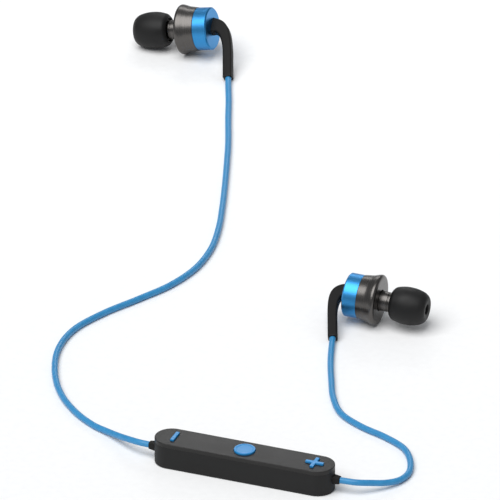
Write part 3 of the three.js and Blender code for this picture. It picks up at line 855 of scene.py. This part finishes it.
def make_remote():
    make_shell()
    make_cover()
    make_mark_key("minus", bar_outline(MARK_WIDTH, MINUS_LENGTH, KEY_CORNER), -KEY_SPACING)
    make_mark_key("plus", plus_outline(MARK_LENGTH, MARK_WIDTH, KEY_CORNER), KEY_SPACING)
    make_play_key()
    make_strain_relief("right", 1)
    make_strain_relief("left", -1)
    make_port_cover()
    make_socket()


# ---- earphones ----


def centre_of(node):
    corners = [vertex.co for vertex in frame["nodes"][node].data.vertices]
    return sum(corners, Vector()) / len(corners)


def earphone_frame(side):
    """The earphone's own frame: its Z is the tip's joint axis, and its Y points towards the stem's leg."""
    joint = next(joint for joint in frame["joints"] if joint["name"] == f"{side}_tip_pull")
    axis = Vector(joint["axis"]).normalized()
    origin = centre_of(f"{side}_nozzle_filter") - axis * FILTER_MIDDLE * MM
    leg_side = centre_of(f"{side}_stem") - origin
    leg_side = (leg_side - axis * leg_side.dot(axis)).normalized()
    third = leg_side.cross(axis)
    spin = Matrix((third, leg_side, axis)).transposed().to_4x4()
    return Matrix.Translation(origin) @ spin


def make_housing(side, matrix):
    """The flared housing: a slightly hollow cone, a full round rim and a flat front face."""
    profile = rounded_line([
        (6.2, HOUSING_REAR, 0),
        (HOUSING_REAR_RADIUS, HOUSING_REAR, 0.08),
        (7.5, -3.4, 6.0),
        (RIM_RADIUS + 0.42, 0.0, 1.6),
        (NECK_RADIUS + 0.3, 0.0, 0.08),
        (NECK_RADIUS + 0.3, -0.9, 0),
        (6.2, -1.2, 0),
    ], closed=True, steps=8)
    housing = mesh_object(f"{side}_housing", turned(profile), matrix)
    dress(housing, "dark_metal", "remote", [f"{side}_front_housing"])


def make_nozzle(side, matrix):
    profile = rounded_line([
        (1.4, -2.2, 0),
        (5.6, -2.2, 0),
        (5.6, -1.6, 0),
        (NECK_RADIUS, -1.5, 0),
        (NECK_RADIUS, 2.75, 0.06),
        (NECK_RADIUS - 0.18, 2.85, 0.05),
        (NECK_RADIUS - 0.18, 3.1, 0.05),
        (NECK_RADIUS, 3.2, 0.06),
        (NECK_RADIUS, NECK_TOP, 0.25),
        (2.2, NECK_TOP, 0.1),
        (2.2, NOZZLE_TOP - 1.6, 0.1),
        (2.5, NOZZLE_TOP - 1.2, 0.15),
        (2.2, NOZZLE_TOP, 0.2),
        (1.4, NOZZLE_TOP, 0.1),
    ], closed=True, steps=4)
    nozzle = mesh_object(f"{side}_sound_nozzle", turned(profile, 112), matrix)
    dress(nozzle, "dark_metal", "remote", [f"{side}_nozzle"])


def make_cap(side, matrix):
    hole = 1.7
    inner = CAP_RADIUS - 0.9
    front = HOUSING_REAR - 0.05
    profile = rounded_line([
        (hole, CAP_REAR, 0.05),
        (CAP_RADIUS - 0.4, CAP_REAR, 0.05),
        (CAP_RADIUS, CAP_REAR + 0.4, 0.05),
        (CAP_RADIUS, front, 0.06),
        (inner, front, 0),
        (inner, CAP_REAR + 0.9, 0),
        (hole, CAP_REAR + 0.9, 0),
    ], closed=True, steps=4)
    cap = mesh_object(f"{side}_cap", turned(profile), matrix)
    dress(cap, "blue_metal", "remote", [f"{side}_rear_cap"])


def make_tip(side, matrix):
    """One silicone moulding: the skirt folds back from the nose over a core that grips the nozzle."""
    profile = rounded_line([
        (1.65, 15.5, 0.35),
        (3.7, 15.85, FULL),
        (5.15, 14.3, FULL),
        (6.0, 11.3, FULL),
        (6.08, 7.7, FULL),
        (5.3, 4.7, FULL),
        (4.2, 3.8, 0.3),
        (3.75, 4.1, 0.25),
        (4.75, 5.6, FULL),
        (5.45, 8.0, FULL),
        (5.35, 10.9, FULL),
        (4.6, 13.0, FULL),
        (3.5, 12.0, 0.5),
        (3.5, 4.4, 0.15),
        (2.7, 4.4, 0.15),
        (2.7, 9.6, 0.1),
        (1.65, 10.2, 0.2),
    ], closed=True, steps=8)
    tip = mesh_object(f"{side}_tip", turned(profile), matrix)
    dress(tip, "silicone", f"{side}_tip", [f"{side}_ear_tip"])


def stem_line(bend):
    """(centre, direction, distance) along the stem's middle line, in the plane X = 0."""
    corner = Vector((0, 0, CAP_REAR - STEM_CORNER_BACK))
    leg = Vector((0, math.sin(bend), -math.cos(bend)))
    bend_start = Vector((0, 0, CAP_REAR - STEM_STRAIGHT_ROOT))
    bend_end = corner + leg * STEM_BEND_LENGTH
    end = corner + leg * STEM_LEG_LENGTH
    points = [Vector((0, 0, CAP_REAR + 0.05))]
    points += [bend_start.lerp(corner, t).lerp(corner.lerp(bend_end, t), t) for t in steps_to_one(28)]
    points += [bend_end.lerp(end, t) for t in steps_to_one(24)[1:]]
    line = []
    distance = 0
    for index, point in enumerate(points):
        if index:
            distance += (point - points[index - 1]).length
        ahead = points[min(index + 1, len(points) - 1)] - points[max(index - 1, 0)]
        line.append((point, ahead.normalized(), distance))
    return line


def steps_to_one(count):
    return [step / count for step in range(count + 1)]


def make_stem(side, matrix):
    """The rubber stem: tall where it meets the cap, bending into a square leg with soft corners."""
    across = Vector((1, 0, 0))
    half = STEM_WIDTH / 2
    unit = rounded_square(1, 0.42)
    rings = []

    def add_ring(centre, ahead, outline, wide, tall, along=0):
        outward = ahead.cross(across)
        middle = centre + ahead * along
        rings.append([tuple(middle + across * x * wide + outward * y * tall) for x, y in outline])

    line = stem_line(math.radians(STEM_BENDS[side]))
    for centre, ahead, distance in line:
        fade = (1 - min(1, distance / STEM_TAPER_LENGTH)) ** STEM_TAPER_POWER
        tall = half + (STEM_ROOT_HEIGHT / 2 - half) * fade
        middle = centre + Vector((0, -STEM_ROOT_OFFSET * fade, 0))
        add_ring(middle, ahead, unit, half * (1 + STEM_ROOT_SPREAD * fade), tall)
    end, ahead, _ = line[-1]
    bore = circle_like(unit, CORD_BORE_RADIUS)
    for inset, along in ((0, 0.35), (0.07, 0.52), (0.22, 0.6)):
        add_ring(end, ahead, unit, half - inset, half - inset, along)
    for along in (0.6, -0.2):
        add_ring(end, ahead, bore, 1, 1, along)
    stem = mesh_object(f"{side}_rubber_stem", loft(rings), matrix)
    dress(stem, "black_rubber", "remote", [f"{side}_stem"])


def make_earphone(side):
    matrix = earphone_frame(side)
    make_housing(side, matrix)
    make_nozzle(side, matrix)
    make_cap(side, matrix)
    make_tip(side, matrix)
    make_stem(side, matrix)


make_remote()
for earphone_side in STEM_BENDS:
    make_earphone(earphone_side)

# ---- inner pieces keep their CAD shape, with their own finish ----

for subpart in frame["record"]["subparts"]:
    node_object = frame["nodes"][subpart["node"]]
    if not node_object.hide_render:
        node_object.data.materials[0] = MATERIALS[subpart["material_slot"]]

# ---- floor and light, in metres and degrees ----

FLOOR_REACH = 6.0
KEY_LIGHT_DIRECTION = (-0.15, -0.45, 0.95)
KEY_LIGHT_SPREAD = 55
KEY_LIGHT_STRENGTH = 2.55
FAR_LIGHT_PLACE = (-0.2, 0.62, 0.3)
FAR_LIGHT_SIZE = (0.3, 0.12)
FAR_LIGHT_POWER = 0.4
SKY_COLOUR = (235, 238, 242)
SKY_STRENGTH = 0.36


def make_floor():
    size = FLOOR_REACH
    corners = [(-size, -size, 0), (size, -size, 0), (size, size, 0), (-size, size, 0)]
    mesh = bpy.data.meshes.new("floor")
    mesh.from_pydata(corners, [], [(0, 1, 2, 3)])
    floor = bpy.data.objects.new("floor", mesh)
    bpy.context.scene.collection.objects.link(floor)
    nodes = Nodes("floor_paper")
    nodes.set(Specular_IOR_Level=0.2)
    tooth = nodes.noise(400, detail=3)
    nodes.colour(nodes.between(tooth.outputs["Fac"], 0, 1), linear(247, 247, 247), linear(250, 250, 250))
    nodes.roughness(tooth.outputs["Fac"], 0.8, 0.9)
    mesh.materials.append(nodes.material)


def soft_light(name, place, aim, size, power):
    light = bpy.data.lights.new(name, "AREA")
    light.shape = "RECTANGLE"
    light.size = size[0]
    light.size_y = size[1]
    light.energy = power
    lamp = bpy.data.objects.new(name, light)
    bpy.context.scene.collection.objects.link(lamp)
    lamp.location = place
    lamp.rotation_euler = (Vector(aim) - Vector(place)).to_track_quat("-Z", "Y").to_euler()
    lamp.visible_camera = False


def wide_light(name, direction, spread, strength):
    """A far, wide light, so that the floor stays evenly bright round the object."""
    light = bpy.data.lights.new(name, "SUN")
    light.angle = math.radians(spread)
    light.energy = strength
    lamp = bpy.data.objects.new(name, light)
    bpy.context.scene.collection.objects.link(lamp)
    lamp.rotation_euler = Vector(direction).to_track_quat("Z", "Y").to_euler()


def make_light():
    wide_light("key", KEY_LIGHT_DIRECTION, KEY_LIGHT_SPREAD, KEY_LIGHT_STRENGTH)
    soft_light("far", FAR_LIGHT_PLACE, (0, 0, 0), FAR_LIGHT_SIZE, FAR_LIGHT_POWER)
    world = bpy.data.worlds.new("world")
    world.use_nodes = True
    background = world.node_tree.nodes["Background"]
    background.inputs["Color"].default_value = linear(*SKY_COLOUR)
    background.inputs["Strength"].default_value = SKY_STRENGTH
    bpy.context.scene.world = world
    bpy.context.scene.view_settings.view_transform = "Standard"


make_floor()
make_light()
